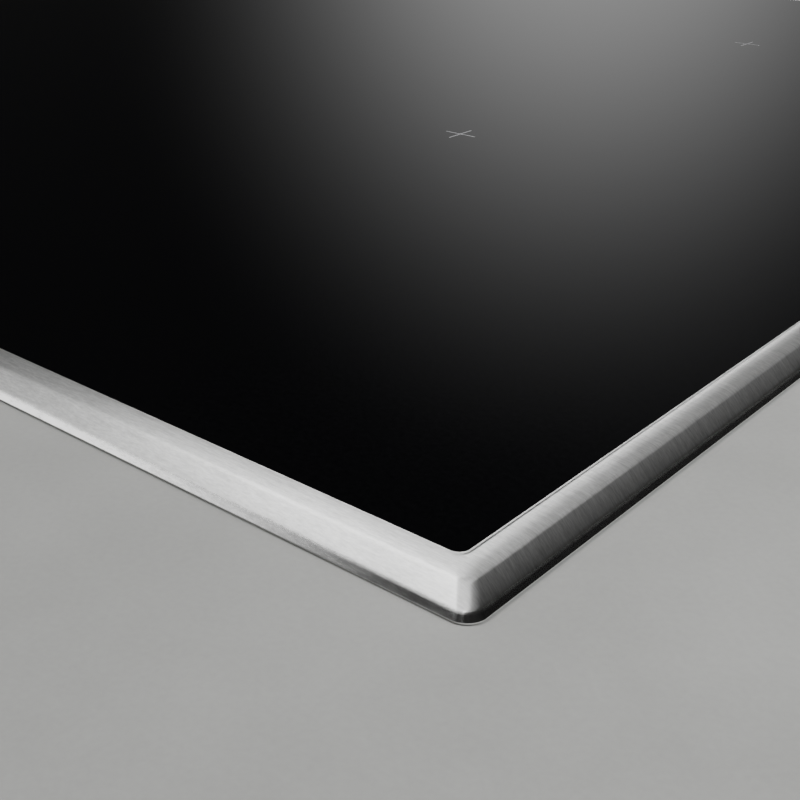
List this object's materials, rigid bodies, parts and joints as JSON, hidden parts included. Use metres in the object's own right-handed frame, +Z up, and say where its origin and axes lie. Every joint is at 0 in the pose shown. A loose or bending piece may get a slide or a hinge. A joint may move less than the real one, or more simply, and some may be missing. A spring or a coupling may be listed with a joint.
{
  "type": "induction cooktop",
  "caption": "Built-in induction hob: black glass-ceramic top in a slim brushed steel frame over a sheet-steel tray with sprung coils, cooling fans and power electronics.",
  "frame": {"origin": "centre of the hob in plan, on the worktop surface, which is the underside of the worktop seal", "axes": "+Z up out of the worktop, +X to the user's right, -Y towards the user"},
  "size_m": [0.576, 0.516, 0.049],
  "materials": {
    "black_glass": "polished black glass-ceramic, opaque",
    "brushed_trim": "brushed stainless steel, grain along X",
    "silicone_black": "cured silicone adhesive",
    "seal_foam": "closed-cell sealing tape",
    "zinc_sheet": "galvanised sheet steel",
    "zinc_fasteners": "zinc-plated steel",
    "aluminium_sheet": "mill finish",
    "circuit_board": "glass-epoxy board with solder mask",
    "black_plastic": "moulded, fine texture",
    "grey_plastic": "moulded, fine texture",
    "copper_wire": "enamelled copper litz",
    "ferrite": "sintered ferrite, matte",
    "mica": "pressed mica sheet",
    "inlet_rubber": "moulded rubber",
    "spring_steel": "spring steel"
  },
  "bodies": {
    "hob_body": {"glass_ceramic_top": "black_glass", "steel_trim_frame": "brushed_trim", "glass_adhesive": "silicone_black", "worktop_seal": "seal_foam", "glass_bracket_left": "zinc_sheet", "glass_bracket_right": "zinc_sheet", "bottom_tray": "zinc_sheet", "chassis_screws": "zinc_fasteners", "coil_bridge_left": "aluminium_sheet", "coil_bridge_right": "aluminium_sheet", "coil_guide_pins": "zinc_fasteners", "power_boards": "circuit_board", "heatsinks": "aluminium_sheet", "power_transistors": "black_plastic", "film_capacitors": "grey_plastic", "board_supports": "grey_plastic", "fan_housing_left": "black_plastic", "fan_housing_right": "black_plastic", "fan_motors": "zinc_fasteners", "filter_board": "circuit_board", "filter_choke": "copper_wire", "terminal_box": "grey_plastic", "terminal_block": "grey_plastic", "cable_grommet": "inlet_rubber", "control_carrier": "black_plastic", "control_board": "circuit_board", "touch_contact_springs": "spring_steel", "ribbon_cable": "grey_plastic", "clip_bases": "zinc_sheet", "coil_springs_front_left": "spring_steel", "coil_springs_back_left": "spring_steel", "coil_springs_front_right": "spring_steel", "coil_springs_back_right": "spring_steel"},
    "coil_unit_front_left": {"coil_carrier_front_left": "black_plastic", "coil_winding_front_left": "copper_wire", "ferrite_bars_front_left": "ferrite", "mica_sheet_front_left": "mica", "heat_sensor_front_left": "grey_plastic"},
    "coil_unit_back_left": {"coil_carrier_back_left": "black_plastic", "coil_winding_back_left": "copper_wire", "ferrite_bars_back_left": "ferrite", "mica_sheet_back_left": "mica", "heat_sensor_back_left": "grey_plastic"},
    "coil_unit_front_right": {"coil_carrier_front_right": "black_plastic", "coil_winding_front_right": "copper_wire", "ferrite_bars_front_right": "ferrite", "mica_sheet_front_right": "mica", "heat_sensor_front_right": "grey_plastic"},
    "coil_unit_back_right": {"coil_carrier_back_right": "black_plastic", "coil_winding_back_right": "copper_wire", "ferrite_bars_back_right": "ferrite", "mica_sheet_back_right": "mica", "heat_sensor_back_right": "grey_plastic"},
    "impeller_left": {"fan_impeller_left": "grey_plastic"},
    "impeller_right": {"fan_impeller_right": "grey_plastic"},
    "terminal_lid": {"terminal_cover": "black_plastic"},
    "leaf_front_left": {"clip_leaf_front_left": "spring_steel"},
    "leaf_front_right": {"clip_leaf_front_right": "spring_steel"},
    "leaf_back_left": {"clip_leaf_back_left": "spring_steel"},
    "leaf_back_right": {"clip_leaf_back_right": "spring_steel"}
  },
  "joints": [
    {"name": "coil_slide_front_left", "type": "slide", "parent": "hob_body", "child": "coil_unit_front_left", "axis": [0, 0, 1], "range_m": [-0.003, 0], "stiffness_N_per_m": 4000, "springref_m": 0.005, "deforming": ["coil_springs_front_left"]},
    {"name": "coil_slide_back_left", "type": "slide", "parent": "hob_body", "child": "coil_unit_back_left", "axis": [0, 0, 1], "range_m": [-0.003, 0], "stiffness_N_per_m": 4000, "springref_m": 0.005, "deforming": ["coil_springs_back_left"]},
    {"name": "coil_slide_front_right", "type": "slide", "parent": "hob_body", "child": "coil_unit_front_right", "axis": [0, 0, 1], "range_m": [-0.003, 0], "stiffness_N_per_m": 4000, "springref_m": 0.005, "deforming": ["coil_springs_front_right"]},
    {"name": "coil_slide_back_right", "type": "slide", "parent": "hob_body", "child": "coil_unit_back_right", "axis": [0, 0, 1], "range_m": [-0.003, 0], "stiffness_N_per_m": 4000, "springref_m": 0.005, "deforming": ["coil_springs_back_right"]},
    {"name": "fan_spin_left", "type": "hinge", "parent": "hob_body", "child": "impeller_left", "pos_m": [-0.14, 0.072, -0.03], "axis": [0, 0, 1], "continuous": true},
    {"name": "fan_spin_right", "type": "hinge", "parent": "hob_body", "child": "impeller_right", "pos_m": [0.12, 0.072, -0.03], "axis": [0, 0, 1], "continuous": true},
    {"name": "terminal_lid_swing", "type": "hinge", "parent": "hob_body", "child": "terminal_lid", "pos_m": [0.205, 0.2419, -0.0203], "axis": [1, 0, 0], "range_deg": [0, 90]},
    {"name": "leaf_flex_front_left", "type": "hinge", "parent": "hob_body", "child": "leaf_front_left", "pos_m": [-0.2758, -0.12, -0.035], "axis": [0, 1, 0], "range_deg": [0, 6], "stiffness_Nm_per_rad": 0.3, "springref_deg": -5.73},
    {"name": "leaf_flex_front_right", "type": "hinge", "parent": "hob_body", "child": "leaf_front_right", "pos_m": [0.2758, -0.12, -0.035], "axis": [0, -1, 0], "range_deg": [0, 6], "stiffness_Nm_per_rad": 0.3, "springref_deg": -5.73},
    {"name": "leaf_flex_back_left", "type": "hinge", "parent": "hob_body", "child": "leaf_back_left", "pos_m": [-0.2758, 0.12, -0.035], "axis": [0, 1, 0], "range_deg": [0, 6], "stiffness_Nm_per_rad": 0.3, "springref_deg": -5.73},
    {"name": "leaf_flex_back_right", "type": "hinge", "parent": "hob_body", "child": "leaf_back_right", "pos_m": [0.2758, 0.12, -0.035], "axis": [0, -1, 0], "range_deg": [0, 6], "stiffness_Nm_per_rad": 0.3, "springref_deg": -5.73}
  ]
}
